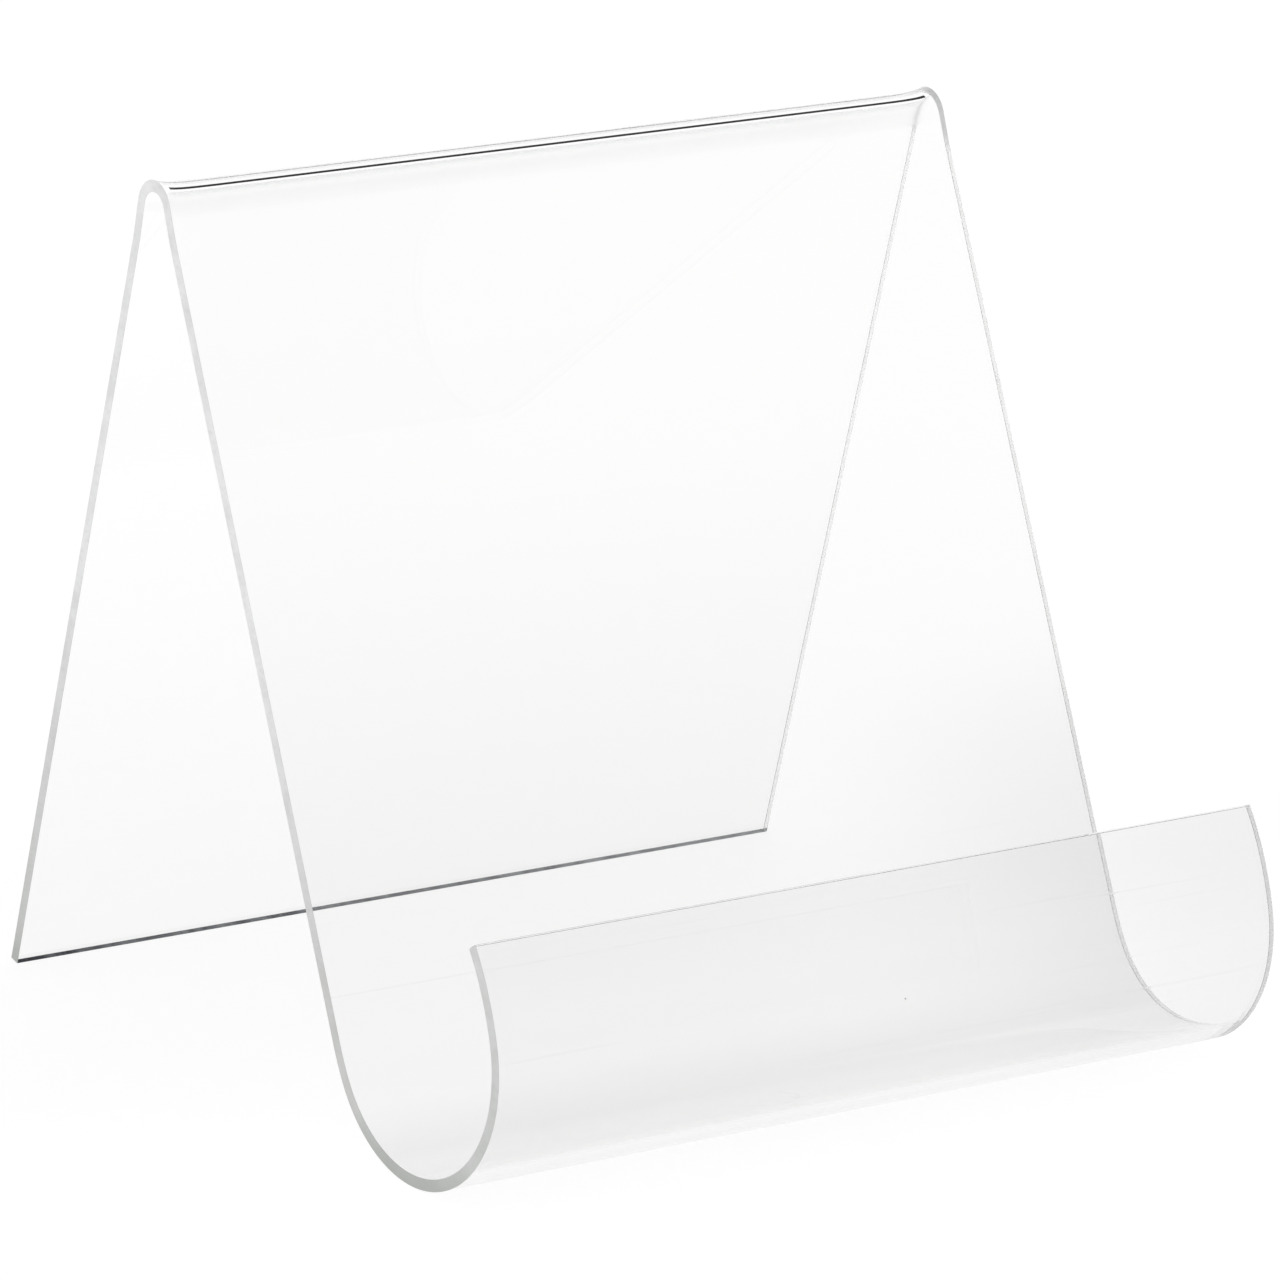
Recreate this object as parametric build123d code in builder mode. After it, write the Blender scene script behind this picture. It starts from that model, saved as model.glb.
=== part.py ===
from build123d import *

import os
from math import cos, radians, sin

# A plate display stand: one sheet of clear acrylic, heat-bent along lines that run
# across its width. The back leg rises from the table to a tight ridge bend, the front
# panel slopes down from the ridge, and a wide trough with an in-curled lip catches
# the rim of the plate that leans on the panel.
#
# Frame: X across the width, Y from front (-) to back (+), Z up from the table, with
# the origin in the middle of the footprint. Millimetres and degrees.

# Sheet
THICKNESS = 3.0
WIDTH = 230.0
EDGE_BREAK = 0.2  # flat left by a scraper on each sawn edge

# Stance
HEIGHT = 213.5  # table to the top of the ridge
BACK_LEAN = 13.5  # back leg from vertical
FRONT_LEAN = 25.5  # front panel from vertical

# Bends: radius of the hollow side, and how far the sheet turns
RIDGE_RADIUS = 4.0
ENTRY_RADIUS = 67.0  # the panel eases into the trough
ENTRY_TURN = 7.0
TROUGH_RADIUS = 31.5
TROUGH_TURN = 159.0
LIP_RADIUS = 55.0  # the lip opens out towards its tip
LIP_TURN = 27.5

RIDGE_TURN = 180.0 - BACK_LEAN - FRONT_LEAN

back = radians(BACK_LEAN)
front = radians(FRONT_LEAN)
eased = radians(FRONT_LEAN + ENTRY_TURN)

# The profile is drawn along the face that shows: it is the outside of the ridge bend
# and the hollow of the trough.
ridge_outer = RIDGE_RADIUS + THICKNESS
trough_outer = TROUGH_RADIUS + THICKNESS
ridge_z = HEIGHT - ridge_outer

# Straight run of the back leg, so that the lower corner its cut end keeps after the
# edges are broken meets the table
back_run = (ridge_z + (RIDGE_RADIUS + EDGE_BREAK) * sin(back)) / cos(back)

# Straight run of the panel, so that the underside of the trough touches the table
panel_run = (
    ridge_z
    + (ridge_outer + ENTRY_RADIUS) * sin(front)
    - (ENTRY_RADIUS - TROUGH_RADIUS) * sin(eased)
    - trough_outer
) / cos(front)

# How far the stand reaches behind and in front of the ridge's own centre line
foot_reach = ridge_outer * cos(back) + back_run * sin(back)
back_reach = foot_reach - EDGE_BREAK * sin(back)
trough_reach = (
    (ridge_outer + ENTRY_RADIUS) * cos(front)
    + panel_run * sin(front)
    - (ENTRY_RADIUS - TROUGH_RADIUS) * cos(eased)
)
front_reach = trough_reach + trough_outer
ridge_y = (front_reach - back_reach) / 2

# Outer corner of the cut end at the foot of the back leg
foot = (
    ridge_y + foot_reach,
    ridge_z + ridge_outer * sin(back) - back_run * cos(back),
)

with BuildPart() as bent_acrylic_sheet:
    # On the YZ plane a sketch's first axis is Y and its second is Z.
    with BuildSketch(Plane.YZ):
        with BuildLine():
            back_leg = PolarLine(foot, back_run, 90.0 + BACK_LEAN)
            ridge = JernArc(back_leg @ 1, back_leg % 1, ridge_outer, RIDGE_TURN)
            panel = PolarLine(ridge @ 1, panel_run, direction=ridge % 1)
            entry = JernArc(panel @ 1, panel % 1, ENTRY_RADIUS, -ENTRY_TURN)
            trough = JernArc(entry @ 1, entry % 1, TROUGH_RADIUS, -TROUGH_TURN)
            JernArc(trough @ 1, trough % 1, LIP_RADIUS, -LIP_TURN)
            offset(amount=THICKNESS, side=Side.LEFT, closed=True)
        make_face()
    extrude(amount=WIDTH / 2, both=True)

    # Every sawn edge is broken: all round both sides, and across the foot and the lip.
    sides = bent_acrylic_sheet.faces().filter_by(Axis.X)
    cut_ends = bent_acrylic_sheet.faces().filter_by(
        lambda face: abs(face.area - THICKNESS * WIDTH) < 1.0
    )
    chamfer(sides.edges() + cut_ends.edges().filter_by(Axis.X), EDGE_BREAK)

bent_acrylic_sheet.part.label = "bent_acrylic_sheet"

os.makedirs("parts", exist_ok=True)
export_step(bent_acrylic_sheet.part, "parts/bent_acrylic_sheet.step")
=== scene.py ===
import math

import bmesh
import bpy
import numpy as np
from mathutils import Matrix, Vector


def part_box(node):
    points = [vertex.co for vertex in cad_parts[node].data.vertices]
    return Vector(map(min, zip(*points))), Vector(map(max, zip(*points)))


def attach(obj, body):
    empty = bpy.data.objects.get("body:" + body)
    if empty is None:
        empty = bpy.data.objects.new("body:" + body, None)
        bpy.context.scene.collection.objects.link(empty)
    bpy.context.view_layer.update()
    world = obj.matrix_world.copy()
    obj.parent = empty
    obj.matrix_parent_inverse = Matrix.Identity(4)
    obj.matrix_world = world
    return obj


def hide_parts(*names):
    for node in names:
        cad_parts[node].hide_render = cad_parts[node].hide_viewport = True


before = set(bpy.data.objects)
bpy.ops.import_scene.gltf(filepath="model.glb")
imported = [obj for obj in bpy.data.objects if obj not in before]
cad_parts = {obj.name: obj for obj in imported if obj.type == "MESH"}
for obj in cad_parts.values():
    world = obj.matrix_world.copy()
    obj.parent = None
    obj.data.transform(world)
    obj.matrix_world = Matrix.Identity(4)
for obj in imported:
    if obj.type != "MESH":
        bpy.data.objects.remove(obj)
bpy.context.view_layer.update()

# A plate display stand: one sheet of clear acrylic, heat-bent by hand. Metres and
# degrees, in the CAD frame: X across the width, Y from front (-) to back (+), Z up.
# The sheet follows the CAD profile, with what hand bending adds: the trough is a little
# tighter at one end than at the other, and the ridge flares at both of its ends.

MM = 0.001
NODE = "bent_acrylic_sheet"
LOW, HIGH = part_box(NODE)
WIDTH = HIGH.x - LOW.x
HEIGHT = HIGH.z - LOW.z

# The sheet and its bends. A pair holds the values at the -X and the +X end.
THICKNESS = 3 * MM
BACK_LEAN = 13.5
FRONT_LEAN = (25.3, 25.65)
RIDGE_RADIUS = 4 * MM
ENTRY_RADIUS = 67 * MM
ENTRY_TURN = 7.0
TROUGH_RADIUS = (32.4 * MM, 30.6 * MM)
TROUGH_TURN = (164.0, 162.2)
LIP_RADIUS = 66.5 * MM
LIP_TURN = (19.8, 22.0)

# The ridge's flare: how high it stands at the end, and the distances over which it dies
# out across the width and down the legs
FLARE_HEIGHT = 1.1 * MM
FLARE_ACROSS = 3.2 * MM
FLARE_ALONG = 9 * MM
RIDGE_DIP = 0.3 * MM  # how much lower the ridge lies between its flared ends

# The painted dark line under the crown of the ridge, on its hollow side, a painted
# reflection:
# from this direction of the surface to that, in degrees up from the back, and how far short
# of each end it stops
PAINTED_LINE_SPAN = (89.0, 98.5)
PAINTED_LINE_STOP = (3 * MM, 1.3 * MM)

# Rounding of the cut edges, and the angles above which edges are rounded or stay sharp
EDGE_ROUND = 0.1 * MM
EDGE_STEPS = 3
ROUNDED_ANGLE = math.radians(45)
SMOOTH_ANGLE = math.radians(30)

# Steps of the mesh along each stretch, and the lines across the width
BACK_STEPS = 24
RIDGE_STEPS = 56
PANEL_STEPS = 24
ENTRY_STEPS = 8
TROUGH_STEPS = 120
LIP_STEPS = 16
LINES_ACROSS = 61
CROWDING = 2.4  # how much closer together the lines stand towards the ends

SHOWN, SAWN, FOOT, PAINTED_LINE = 0, 1, 2, 3  # material places on the sheet

# Colours and strengths of the acrylic and of what is on it
ACRYLIC_IOR = 1.49
CLEAR_TINT = (0.992, 0.993, 0.991, 1)
# painted shade: the tint the sheet darkens to towards the table
LOW_SHADE_TINT = (0.946, 0.947, 0.945, 1)
# painted shade: darker tint at the +X end of the trough
FAR_END_SHADE_TINT = (0.860, 0.861, 0.860, 1)
# painted shade where the sheet touches the table
CONTACT_SHADE_TINT = (0.875, 0.876, 0.873, 1)
SCUFF_TINT = (0.5, 0.5, 0.5, 1)
DUST_TINT = (0.12, 0.11, 0.10, 1)
SCUFF_WEIGHT = 0.07
POLISH = 0.002  # roughness of the clean sheet, and what the rest adds to it
SMUDGE_ROUGHNESS = 0.02
SCUFF_ROUGHNESS = 0.12
DUST_ROUGHNESS = 0.5
RIDGE_ROUGHNESS = 0.25
EDGE_PALE = (0.82, 0.82, 0.83, 1)
EDGE_DULL = (0.72, 0.72, 0.72, 1)
EDGE_MARK = (0.60, 0.60, 0.62, 1)
# painted shade on the sawn edges near the table
EDGE_SHADE = (0.30, 0.32, 0.29, 1)
MARK_WEIGHT = 0.3
EDGE_ROUGHNESS = (0.15, 0.25)
EDGE_CLEARNESS = (0.0, 0.85)  # at the -X and the +X end
# painted light: grey colour and glow at the far end of the ridge
RIDGE_END_PAINTED_GREY = (0.50, 0.50, 0.51, 1)
RIDGE_END_PAINTED_GLOW = 0.3
# painted reflection: the dark line under the ridge, and its paler patches
PAINTED_LINE_DARK = (0.002, 0.002, 0.004, 1)
PAINTED_LINE_PALER = (0.006, 0.006, 0.010, 1)
PAINTED_LINE_ROUGHNESS = (0.4, 0.6)
# painted shade where the foot meets the table
FOOT_DARK = (0.006, 0.012, 0.03, 1)
FOOT_GREY = (0.47, 0.49, 0.52, 1)
FOOT_ROUGHNESS = (0.2, 0.3)
FACING_BLEND = 0.5
FACING_CLEAR = (0.40, 0.25)  # the foot begins to clear, and is clear, at this facing

# Where things are on the sheet: each begins at the first place and is full at the second.
# Heights are in Z, depths in Y and widths in X.
TROUGH_HEIGHT = (75 * MM, 50 * MM)
TROUGH_DEPTH = (-20 * MM, -40 * MM)
# painted shade: darker from this height down to the table
LOW_SHADE_HEIGHT = (150 * MM, 0.0)
# where the painted shade at the +X end of the trough lies
FAR_END_SHADE_HEIGHT = (100 * MM, 40 * MM)
FAR_END_SHADE_DEPTH = (0.0, -20 * MM)
FAR_END_SHADE_WIDTH = (20 * MM, 125 * MM)
# painted shade from this height down to where the sheet touches the table
CONTACT_SHADE_HEIGHT = (12 * MM, 1 * MM)
# painted shade on the sawn edges towards the table
EDGE_DIM_HEIGHT = (130 * MM, 10 * MM)  # dims to the first share, then by the second
EDGE_DARK_HEIGHT = (14 * MM, 0.0)
EDGE_DIM_SHARES = (0.5, 0.3)
EDGE_CLEAR_WIDTH = (-110 * MM, 110 * MM)
FOOT_DARK_WIDTH = (-112 * MM, -85 * MM)  # painted shade: darkest at the near corner, then lighter over the far half
FOOT_LIGHTER_WIDTH = (0.0, 100 * MM)
FOOT_LIGHTER_SHARES = (0.55, 0.4)
FOOT_SHADE_MOTTLE = 0.25
# Inside the ridge: as distances from the radius of its hollow, and from its middle
RIDGE_SKIN = (1.2 * MM, 0.4 * MM)
RIDGE_SIDES = (0.8 * MM, 1.4 * MM)
RIDGE_END_DROP = (2 * MM, 8 * MM)  # below the axis of the ridge

# Noises: features in a metre, detail, and how each is stretched
PATCHES = (14, 3)
SMUDGES = (30, 5)
STREAKS = (700, 2, (0.012, 1, 1))
WAVES = (11, 1)
SAW_MARKS = (900, 2, (0.15, 0.5, 1))
EDGE_WEAR = (120, 4)
PAINTED_LINE_NOISE = (90, 4, (0.2, 1, 1))
FOOT_WEAR = (160, 4, (1, 0.3, 0.3))
GRAIN = (60, 4)
DUST = (24, 0.35 * MM, 0.16)  # cells in a metre, radius, share of cells with a speck

# Values of a noise at which something begins to show and is full
SMUDGE_LEVEL = (0.58, 0.70)
SMUDGED_PATCH = (0.50, 0.60)
STREAK_LEVEL = (0.66, 0.74)
SCUFFED_PATCH = (0.35, 0.55)
DULL_LEVEL = (0.35, 0.70)
MARK_LEVEL = (0.45, 0.75)
FOOT_LEVEL = (0.35, 0.65)
ROUGH_LEVEL = (0.30, 0.70)

# Bumps: strength and height
WAVE_BUMP = (0.1, 0.1 * MM)
MARK_BUMP = (0.4, 0.05 * MM)
GRAIN_BUMP = (0.05, 0.1 * MM)
SCUFF_DEPTH = -0.02  # of a scuff, as a share of the waves


# ------------------------------------------------------------------ the bent profile

HALF = THICKNESS / 2
BACK = math.radians(BACK_LEAN)
RIDGE_OUTER = RIDGE_RADIUS + THICKNESS
RIDGE_Z = HEIGHT - RIDGE_DIP - RIDGE_OUTER
BACK_RUN = (RIDGE_Z + (RIDGE_RADIUS + EDGE_ROUND) * math.sin(BACK)) / math.cos(BACK)
# The rearmost point of the CAD is the upper corner of the cut foot.
RIDGE_Y = HIGH.y - RIDGE_OUTER * math.cos(BACK) - (BACK_RUN - EDGE_ROUND) * math.sin(BACK)
FOOT_Y = RIDGE_Y + (RIDGE_RADIUS + HALF) * math.cos(BACK) + BACK_RUN * math.sin(BACK)
FOOT_Z = RIDGE_Z + (RIDGE_RADIUS + HALF) * math.sin(BACK) - BACK_RUN * math.cos(BACK)


def at_share(value, share):
    """A value that is the same all across, or that changes from the -X to the +X end."""
    if isinstance(value, tuple):
        return value[0] + (value[1] - value[0]) * share
    return value


def stretches(share):
    """(length of the middle layer, turn in radians, mesh steps) of each stretch, from the
    foot of the back leg to the tip of the lip, at one place across the width."""
    front = math.radians(at_share(FRONT_LEAN, share))
    entry_turn = math.radians(ENTRY_TURN)
    trough_turn = math.radians(at_share(TROUGH_TURN, share))
    lip_turn = math.radians(at_share(LIP_TURN, share))
    ridge_turn = math.pi - BACK - front
    trough = at_share(TROUGH_RADIUS, share)
    # As long as it takes for the underside of the trough to touch the table
    panel_run = (
        RIDGE_Z
        + (RIDGE_OUTER + ENTRY_RADIUS) * math.sin(front)
        - (ENTRY_RADIUS - trough) * math.sin(front + entry_turn)
        - (trough + THICKNESS)
    ) / math.cos(front)
    return [
        (BACK_RUN, 0.0, BACK_STEPS),
        ((RIDGE_RADIUS + HALF) * ridge_turn, ridge_turn, RIDGE_STEPS),
        (panel_run, 0.0, PANEL_STEPS),
        ((ENTRY_RADIUS + HALF) * entry_turn, -entry_turn, ENTRY_STEPS),
        ((trough + HALF) * trough_turn, -trough_turn, TROUGH_STEPS),
        ((LIP_RADIUS + HALF) * lip_turn, -lip_turn, LIP_STEPS),
    ]


def stations(share):
    """The sheet's middle layer at one place across the width: distances along it, points
    (Y, Z), and the outward normals of the face that shows."""
    parts = stretches(share)
    runs = np.concatenate([np.full(n, length / n) for length, _, n in parts])
    turns = np.concatenate([np.full(n, turn / n) for _, turn, n in parts])
    heading = BACK + np.concatenate([[0.0], np.cumsum(turns)])
    chords = runs * np.sinc(turns / math.tau)
    mean = (heading[:-1] + heading[1:]) / 2
    moves = np.stack([-np.sin(mean), np.cos(mean)], 1) * chords[:, None]
    points = np.concatenate([[[0.0, 0.0]], np.cumsum(moves, 0)]) + [FOOT_Y, FOOT_Z]
    normals = np.stack([np.cos(heading), np.sin(heading)], 1)
    along = np.concatenate([[0.0], np.cumsum(runs)])
    return along, points, normals


# --------------------------------------------------------------------- the sheet mesh

def flat_sheet(along):
    """The sheet before bending, as a bmesh: X across, Y the distance along, Z out of the
    shown face. Its cut edges are rounded, and a face layer says which faces the rounding
    made. The lip's tip is polished like the sheet."""
    spread = np.linspace(-1, 1, LINES_ACROSS)
    across = np.tanh(CROWDING * spread) / math.tanh(CROWDING) * WIDTH / 2
    columns, rows = len(across), len(along)
    bm = bmesh.new()
    rounding = bm.faces.layers.int.new("rounding")
    layers = []
    for out in (HALF, -HALF):
        layers.append([[bm.verts.new((x, y, out)) for x in across] for y in along])
    top, bottom = layers
    ridge_turn = 180 - BACK_LEAN - at_share(FRONT_LEAN, 0.5)
    first, last = (
        BACK_STEPS + round((angle - BACK_LEAN) / ridge_turn * RIDGE_STEPS)
        for angle in PAINTED_LINE_SPAN
    )
    line_start_x, line_end_x = LOW.x + PAINTED_LINE_STOP[0], HIGH.x - PAINTED_LINE_STOP[1]
    for i in range(rows - 1):
        for j in range(columns - 1):
            corners = (i, j), (i, j + 1), (i + 1, j + 1), (i + 1, j)
            bm.faces.new([top[a][b] for a, b in corners])
            hollow = bm.faces.new([bottom[a][b] for a, b in reversed(corners)])
            inside = line_start_x < across[j] and across[j + 1] < line_end_x
            # faces under the crown of the ridge carry the painted dark line
            if first <= i < last and inside:
                hollow.material_index = PAINTED_LINE
    rim = [(0, j) for j in range(columns)]
    rim += [(i, columns - 1) for i in range(1, rows)]
    rim += [(rows - 1, j) for j in range(columns - 2, -1, -1)]
    rim += [(i, 0) for i in range(rows - 2, 0, -1)]
    for (a, b), (c, d) in zip(rim, rim[1:] + rim[:1]):
        face = bm.faces.new((bottom[a][b], bottom[c][d], top[c][d], top[a][b]))
        if a == c == 0:
            face.material_index = FOOT
        elif a == c == rows - 1:
            face.material_index = SHOWN
        else:
            face.material_index = SAWN
    bm.normal_update()
    sharp = [e for e in bm.edges if e.calc_face_angle(0) > ROUNDED_ANGLE]
    cut = bmesh.ops.bevel(
        bm, geom=sharp, offset=EDGE_ROUND, offset_type="OFFSET", segments=EDGE_STEPS,
        profile=0.5, affect="EDGES", clamp_overlap=False,
    )
    tip = along[-1] - 1.5 * EDGE_ROUND  # only the rounding lies beyond it
    for face in cut["faces"]:
        at_tip = all(vert.co.y > tip for vert in face.verts)
        face.material_index = SHOWN if at_tip else SAWN
        face[rounding] = 1
    return bm, rounding


def bend(bm):
    """Moves every vertex of the flat sheet to its place on the bent one."""
    reference = stations(0.5)[0]
    numbers = np.arange(len(reference))
    top = BACK_STEPS + RIDGE_STEPS / 2
    cache = {}
    for vert in bm.verts:
        x, distance, out = vert.co
        key = round(x, 7)
        if key not in cache:
            cache[key] = stations(x / WIDTH + 0.5)
        along, points, normals = cache[key]
        station = np.interp(distance, reference, numbers)
        y, z = (np.interp(station, numbers, points[:, k]) for k in (0, 1))
        ny, nz = (np.interp(station, numbers, normals[:, k]) for k in (0, 1))
        from_ridge = distance - np.interp(top, numbers, reference)
        from_end = WIDTH / 2 - abs(x)
        flare = FLARE_HEIGHT * math.exp(-from_end / FLARE_ACROSS)
        out += flare * math.exp(-((from_ridge / FLARE_ALONG) ** 2))
        vert.co = (x, y + ny * out, z + nz * out)


def make_sheet():
    bm, rounding = flat_sheet(stations(0.5)[0])
    bend(bm)
    bmesh.ops.reverse_faces(bm, faces=bm.faces)  # bending mirrors the sheet
    for face in bm.faces:
        face.smooth = True
    for edge in bm.edges:
        kinds = {(face.material_index in (SAWN, FOOT), face[rounding])
                 for face in edge.link_faces}
        edge.smooth = len(kinds) == 1 and edge.calc_face_angle(0) < SMOOTH_ANGLE
    mesh = bpy.data.meshes.new("bent_sheet")
    bm.to_mesh(mesh)
    bm.free()
    sheet = bpy.data.objects.new("bent_sheet", mesh)
    bpy.context.scene.collection.objects.link(sheet)
    return sheet


# -------------------------------------------------------------------------- materials

class Nodes:
    """A material's or the world's node tree, with short ways to add nodes to it."""

    def __init__(self, owner):
        owner.use_nodes = True
        self.nodes, self.links = owner.node_tree.nodes, owner.node_tree.links

    def put(self, socket, value):
        """Sets a socket to a number or a tuple, or links it to another node's output."""
        if isinstance(value, bpy.types.NodeSocket):
            self.links.new(value, socket)
        else:
            socket.default_value = value

    def place(self, kind):
        """The object's own coordinates, or the direction from a world's middle."""
        return self.nodes.new("ShaderNodeTexCoord").outputs[kind]

    def split(self, vector):
        node = self.nodes.new("ShaderNodeSeparateXYZ")
        self.put(node.inputs[0], vector)
        return node.outputs

    def maths(self, operation, a, b=0.0):
        node = self.nodes.new("ShaderNodeMath")
        node.operation = operation
        self.put(node.inputs[0], a)
        self.put(node.inputs[1], b)
        return node.outputs[0]

    def product(self, *factors):
        result = factors[0]
        for factor in factors[1:]:
            result = self.maths("MULTIPLY", result, factor)
        return result

    def total(self, *terms):
        result = terms[0]
        for term in terms[1:]:
            result = self.maths("ADD", result, term)
        return result

    def fade(self, value, start, end, low=0.0, high=1.0):
        """Goes smoothly from low to high as the value goes from start to end."""
        node = self.nodes.new("ShaderNodeMapRange")
        node.interpolation_type = "SMOOTHSTEP"
        for name, given in zip(("Value", "From Min", "From Max", "To Min", "To Max"),
                               (value, start, end, low, high)):
            self.put(node.inputs[name], given)
        return node.outputs["Result"]

    def noise(self, vector, scale, detail=3.0, stretch=(1, 1, 1)):
        """Noise with features of about 1/scale metres, longer where stretch is small."""
        mapping = self.nodes.new("ShaderNodeMapping")
        self.put(mapping.inputs["Vector"], vector)
        mapping.inputs["Scale"].default_value = stretch
        node = self.nodes.new("ShaderNodeTexNoise")
        self.put(node.inputs["Vector"], mapping.outputs["Vector"])
        node.inputs["Scale"].default_value = scale
        node.inputs["Detail"].default_value = detail
        return node.outputs["Fac"]

    def specks(self, vector, scale, radius, share):
        """1 in small round spots, one in that share of the cells of 1/scale metres."""
        node = self.nodes.new("ShaderNodeTexVoronoi")
        self.put(node.inputs["Vector"], vector)
        node.inputs["Scale"].default_value = scale
        chosen = self.maths("LESS_THAN", self.split(node.outputs["Color"])[0], share)
        spot = self.fade(node.outputs["Distance"], radius * scale, 0.5 * radius * scale)
        return self.product(chosen, spot)

    def blend(self, factor, a, b):
        """A colour going from a to b as the factor goes from 0 to 1."""
        node = self.nodes.new("ShaderNodeMix")
        node.data_type = "RGBA"
        colours = [socket for socket in node.inputs if socket.type == "RGBA"]
        self.put(node.inputs["Factor"], factor)
        self.put(colours[0], a)
        self.put(colours[1], b)
        return [socket for socket in node.outputs if socket.type == "RGBA"][0]

    def bump(self, height, strength, distance):
        node = self.nodes.new("ShaderNodeBump")
        node.inputs["Strength"].default_value = strength
        node.inputs["Distance"].default_value = distance
        self.put(node.inputs["Height"], height)
        return node.outputs["Normal"]


def new_material(name):
    material = bpy.data.materials.new(name)
    tree = Nodes(material)
    return material, tree, tree.nodes["Principled BSDF"].inputs


def clear_acrylic():
    """Polished clear sheet: its tint darkened as painted shade towards the table, towards
    the +X end of the trough and where it touches the table; scuffed in the trough, slightly
    dull inside the ridge, with smudges and a few specks of dust."""
    material, tree, shader = new_material("clear_acrylic")
    place = tree.place("Object")
    x, y, z = tree.split(place)
    in_trough = tree.product(tree.fade(z, *TROUGH_HEIGHT), tree.fade(y, *TROUGH_DEPTH))
    from_axis = tree.maths("POWER", tree.total(
        tree.maths("POWER", tree.maths("SUBTRACT", y, RIDGE_Y), 2.0),
        tree.maths("POWER", tree.maths("SUBTRACT", z, RIDGE_Z), 2.0)), 0.5)
    beside_top = tree.maths("ABSOLUTE", tree.maths("SUBTRACT", y, RIDGE_Y))
    in_ridge = tree.product(
        tree.fade(from_axis, *(RIDGE_RADIUS + skin for skin in RIDGE_SKIN)),
        tree.fade(beside_top, *RIDGE_SIDES))
    patches = tree.noise(place, *PATCHES)
    smudges = tree.product(
        tree.fade(tree.noise(place, *SMUDGES), *SMUDGE_LEVEL),
        tree.fade(patches, *SMUDGED_PATCH))
    scuffs = tree.product(
        tree.fade(tree.noise(place, *STREAKS), *STREAK_LEVEL), in_trough,
        tree.fade(patches, *SCUFFED_PATCH))
    dust = tree.specks(place, *DUST)
    # painted shade at the +X end of the trough, high on the front
    far_end_shade = tree.product(
        tree.fade(z, *FAR_END_SHADE_HEIGHT), tree.fade(x, *FAR_END_SHADE_WIDTH),
        tree.fade(y, *FAR_END_SHADE_DEPTH))
    # painted shade where the trough touches the table
    contact_shade = tree.product(tree.fade(z, *CONTACT_SHADE_HEIGHT), tree.fade(y, *TROUGH_DEPTH))

    # painted shade: the tint darkens towards the table, at the +X end of the trough and
    # where the sheet touches the table
    tint = tree.blend(tree.fade(z, *LOW_SHADE_HEIGHT), CLEAR_TINT, LOW_SHADE_TINT)
    tint = tree.blend(far_end_shade, tint, FAR_END_SHADE_TINT)
    tint = tree.blend(contact_shade, tint, CONTACT_SHADE_TINT)
    tint = tree.blend(tree.product(scuffs, SCUFF_WEIGHT), tint, SCUFF_TINT)
    shader["IOR"].default_value = ACRYLIC_IOR
    shader["Transmission Weight"].default_value = 1.0
    tree.put(shader["Base Color"], tree.blend(dust, tint, DUST_TINT))
    tree.put(shader["Roughness"], tree.total(
        tree.product(smudges, SMUDGE_ROUGHNESS), tree.product(scuffs, SCUFF_ROUGHNESS),
        tree.product(dust, DUST_ROUGHNESS), tree.product(in_ridge, RIDGE_ROUGHNESS), POLISH))
    height = tree.total(tree.noise(place, *WAVES), tree.product(scuffs, SCUFF_DEPTH))
    tree.put(shader["Normal"], tree.bump(height, *WAVE_BUMP))
    return material


def sawn_edge():
    """The sawn edges, with fine saw marks: matt and pale at the -X end, clearer at the +X
    end, darker near the table as painted shade, and with a painted glow at the far end of
    the ridge."""
    material, tree, shader = new_material("sawn_edge")
    place = tree.place("Object")
    x, y, z = tree.split(place)
    marks = tree.noise(place, *SAW_MARKS)
    wear = tree.noise(place, *EDGE_WEAR)
    pale = tree.blend(tree.fade(wear, *DULL_LEVEL), EDGE_PALE, EDGE_DULL)
    pale = tree.blend(tree.fade(marks, *MARK_LEVEL, 0.0, MARK_WEIGHT), pale, EDGE_MARK)
    # painted shade: the sawn edge darkens towards the table
    edge_shade_low = tree.total(
        tree.fade(z, *EDGE_DIM_HEIGHT, 0.0, EDGE_DIM_SHARES[0]),
        tree.fade(z, *EDGE_DARK_HEIGHT, 0.0, EDGE_DIM_SHARES[1]))
    below_ridge = tree.fade(z, *(RIDGE_Z - drop for drop in RIDGE_END_DROP))
    # painted glow and grey at the far end of the ridge, above where the legs begin
    painted_glow_mask = tree.product(
        tree.fade(x, 0.0, WIDTH / 2), tree.maths("SUBTRACT", 1.0, below_ridge))
    colour = tree.blend(edge_shade_low, pale, EDGE_SHADE)
    tree.put(shader["Base Color"], tree.blend(painted_glow_mask, colour, RIDGE_END_PAINTED_GREY))
    tree.put(shader["Transmission Weight"], tree.product(
        tree.fade(x, *EDGE_CLEAR_WIDTH, *EDGE_CLEARNESS), below_ridge))
    # Painted glow at the far end of the ridge, for light that runs along inside it and comes
    # out there.
    shader["Emission Color"].default_value = (1, 1, 1, 1)
    tree.put(shader["Emission Strength"], tree.product(painted_glow_mask, RIDGE_END_PAINTED_GLOW))
    tree.put(shader["Roughness"], tree.fade(wear, *ROUGH_LEVEL, *EDGE_ROUGHNESS))
    shader["IOR"].default_value = ACRYLIC_IOR
    tree.put(shader["Normal"], tree.bump(marks, *MARK_BUMP))
    return material


def painted_ridge_line():
    """The painted dark line under the crown of the ridge, a painted dark reflection."""
    material, tree, shader = new_material("painted_ridge_line")
    # noise varies the painted line between its two darks
    wear = tree.noise(tree.place("Object"), *PAINTED_LINE_NOISE)
    tree.put(shader["Base Color"], tree.blend(wear, PAINTED_LINE_DARK, PAINTED_LINE_PALER))
    tree.put(shader["Roughness"], tree.fade(wear, *ROUGH_LEVEL, *PAINTED_LINE_ROUGHNESS))
    shader["Specular IOR Level"].default_value = 0.0
    return material


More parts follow.
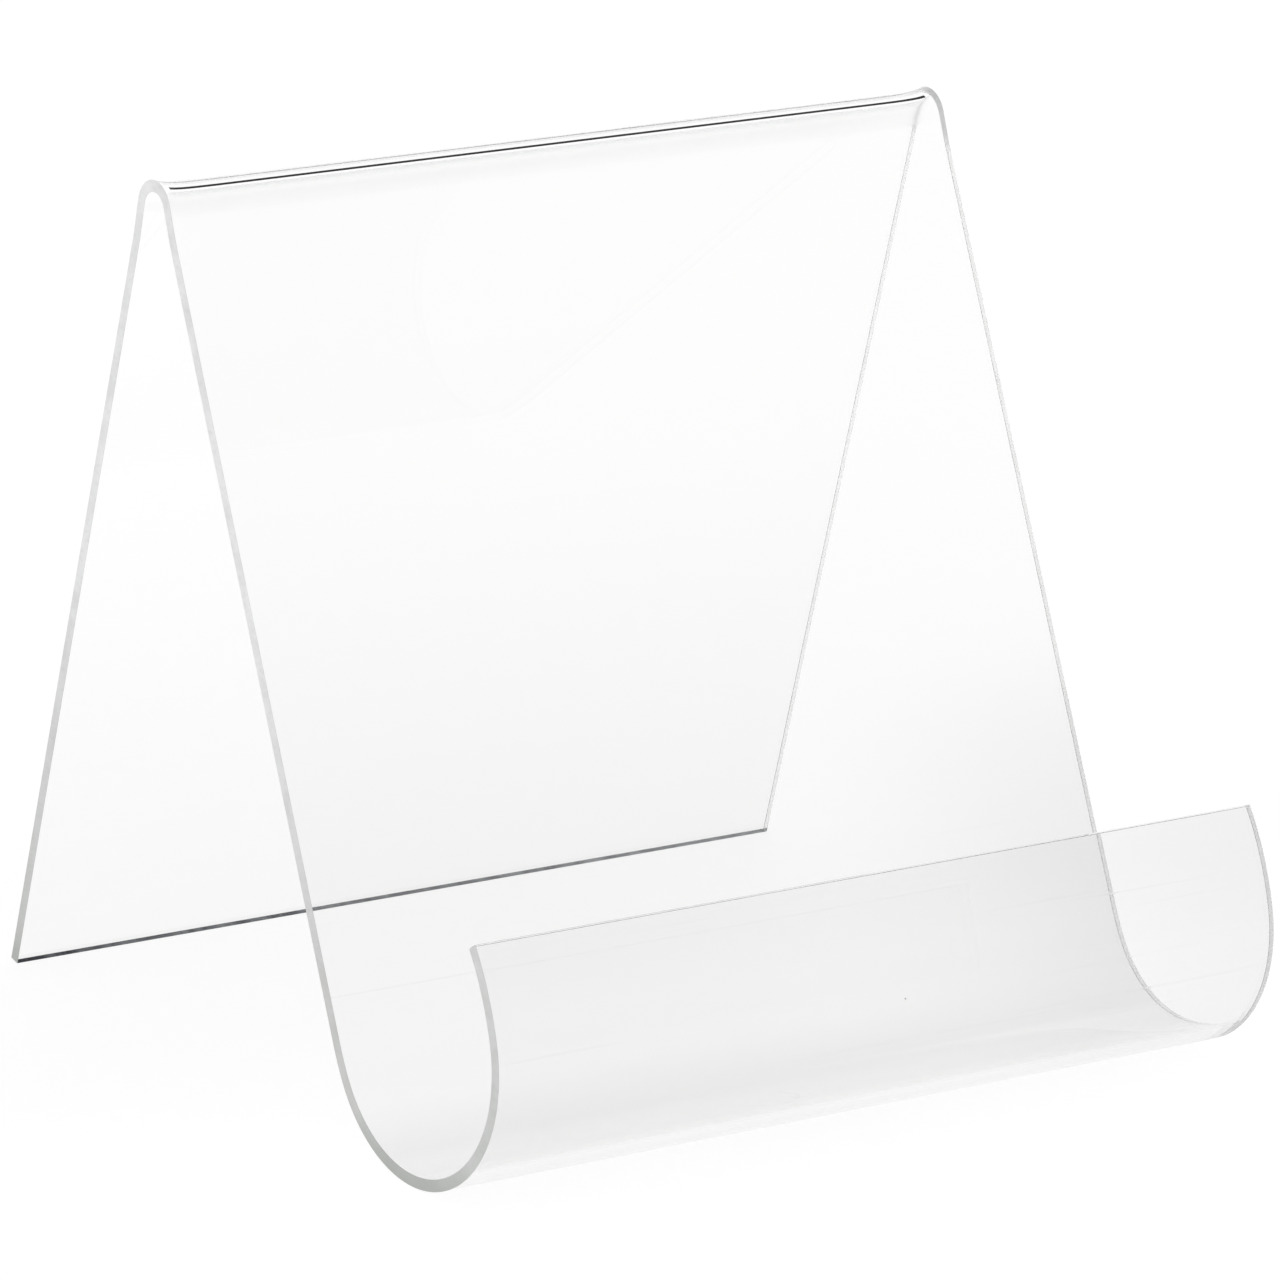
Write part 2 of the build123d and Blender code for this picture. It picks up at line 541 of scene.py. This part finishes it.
def foot_edge():
    """The cut that the back leg stands on: seen slantwise through the sheet it is painted
    dark and grey as shade where it meets the table, most of all at the -X end; seen along
    the sheet, the table shows through it."""
    material, tree, shader = new_material("foot_edge")
    place = tree.place("Object")
    wear = tree.noise(place, *FOOT_WEAR)
    # painted shade by angle of view: slantwise the foot shows its painted shade, along the
    # sheet it turns clear
    weight = tree.nodes.new("ShaderNodeLayerWeight")
    weight.inputs["Blend"].default_value = FACING_BLEND
    along = tree.fade(weight.outputs["Facing"], *FACING_CLEAR)
    x = tree.split(place)[0]
    # how far the painted shade lightens across the width, mottled by noise
    shade_lift = tree.total(
        tree.fade(x, *FOOT_DARK_WIDTH, 0.0, FOOT_LIGHTER_SHARES[0]),
        tree.fade(x, *FOOT_LIGHTER_WIDTH, 0.0, FOOT_LIGHTER_SHARES[1]),
        tree.fade(wear, *FOOT_LEVEL, -FOOT_SHADE_MOTTLE, FOOT_SHADE_MOTTLE))
    foot_shade = tree.blend(shade_lift, FOOT_DARK, FOOT_GREY)
    tree.put(shader["Base Color"], tree.blend(along, foot_shade, CLEAR_TINT))
    tree.put(shader["Transmission Weight"], along)
    tree.put(shader["Roughness"], tree.fade(wear, *ROUGH_LEVEL, *FOOT_ROUGHNESS))
    shader["IOR"].default_value = ACRYLIC_IOR
    shader["Specular IOR Level"].default_value = 0.0
    return material


# ------------------------------------------------------------------------- the studio

CAMERA_AZIMUTH = -35.54
CAMERA_ELEVATION = 16.92
CAMERA_ROLL = 2.68
CAMERA_LENS = 253.0
CAMERA_SENSOR = 36
CAMERA_CLIP = 0.01
CAMERA_DISTANCE = 2.2
CAMERA_AIM = Vector((-4.9 * MM, -2.1 * MM, 99.2 * MM))

FLOOR_SIZE = 6.0
# Glow of the table: from this Y to that Y, from this strength to that
FLOOR_GLOW = (-0.10, 0.05, 0.920, 0.875)
FLOOR_ROUGHNESS = 0.6
FLOOR_SHINE = 0.1
TABLE_PALE = (0.12, 0.12, 0.12, 1)
TABLE_GRAIN = (0.135, 0.135, 0.135, 1)
# Grey of the surroundings at each elevation in degrees: a white sweep behind the stand
# with a dimmer ceiling above it, and a room that darkens upwards in front of it
SKY_BEHIND = ((0, 1.0), (44, 1.0), (48, 0.55), (60, 0.55), (75, 0.7))
SKY_FRONT = ((0, 0.95), (12, 0.9), (24, 0.75), (35, 0.6))
SKY_JOIN = (-0.4, 0.4)  # Y of the direction in which the one gives way to the other
WORLD_LEVEL = 1.08
BOUNCES = 48  # light is led a long way along inside the sheet


def add_floor():
    bpy.ops.mesh.primitive_plane_add(size=FLOOR_SIZE, location=(0, 0, LOW.z))
    floor = bpy.context.object
    floor.name = "floor"
    material, tree, shader = new_material("pale_table")
    place = tree.place("Object")
    grain = tree.noise(place, *GRAIN)
    tree.put(shader["Base Color"], tree.blend(grain, TABLE_PALE, TABLE_GRAIN))
    shader["Roughness"].default_value = FLOOR_ROUGHNESS
    shader["Specular IOR Level"].default_value = FLOOR_SHINE
    shader["Emission Color"].default_value = (1, 1, 1, 1)
    tree.put(shader["Emission Strength"], tree.fade(tree.split(place)[1], *FLOOR_GLOW))
    tree.put(shader["Normal"], tree.bump(grain, *GRAIN_BUMP))
    floor.data.materials.append(material)


def sky(tree, height, stops):
    """Grey of the surroundings by elevation; height is the Z of the direction."""
    ramp = tree.nodes.new("ShaderNodeValToRGB")
    tree.put(ramp.inputs["Fac"], height)
    elements = ramp.color_ramp.elements
    while len(elements) < len(stops):
        elements.new(0.5)
    for element, (elevation, grey) in zip(elements, stops):
        element.position = math.sin(math.radians(elevation))
        element.color = (grey, grey, grey, 1)
    return ramp.outputs["Color"]


def add_world():
    world = bpy.data.worlds.new("studio")
    bpy.context.scene.world = world
    tree = Nodes(world)
    x, y, z = tree.split(tree.place("Generated"))
    behind = tree.fade(y, *SKY_JOIN)
    surroundings = tree.blend(behind, sky(tree, z, SKY_FRONT), sky(tree, z, SKY_BEHIND))
    background = tree.nodes["Background"]
    tree.put(background.inputs["Color"], surroundings)
    background.inputs["Strength"].default_value = WORLD_LEVEL


def add_camera():
    azimuth, elevation, roll = (
        math.radians(a) for a in (CAMERA_AZIMUTH, CAMERA_ELEVATION, CAMERA_ROLL)
    )
    back = Vector((
        math.sin(azimuth) * math.cos(elevation),
        -math.cos(azimuth) * math.cos(elevation),
        math.sin(elevation),
    ))
    level = Vector((math.cos(azimuth), math.sin(azimuth), 0))
    above = back.cross(level)
    right = level * math.cos(roll) + above * math.sin(roll)
    up = back.cross(right)
    data = bpy.data.cameras.new("camera")
    data.lens = CAMERA_LENS
    data.sensor_width = CAMERA_SENSOR
    data.clip_start = CAMERA_CLIP
    camera = bpy.data.objects.new("camera", data)
    bpy.context.scene.collection.objects.link(camera)
    place = Matrix((right, up, back)).transposed().to_4x4()
    place.translation = CAMERA_AIM + back * CAMERA_DISTANCE
    camera.matrix_world = place
    bpy.context.scene.camera = camera


sheet = make_sheet()
for finish in (clear_acrylic, sawn_edge, foot_edge, painted_ridge_line):  # SHOWN, SAWN, ...
    sheet.data.materials.append(finish())
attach(sheet, "root")
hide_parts(NODE)
add_floor()
add_world()
add_camera()
bpy.context.scene.view_settings.view_transform = "Standard"
bpy.context.scene.cycles.max_bounces = BOUNCES
bpy.context.scene.cycles.transmission_bounces = BOUNCES
bpy.context.scene.cycles.glossy_bounces = BOUNCES
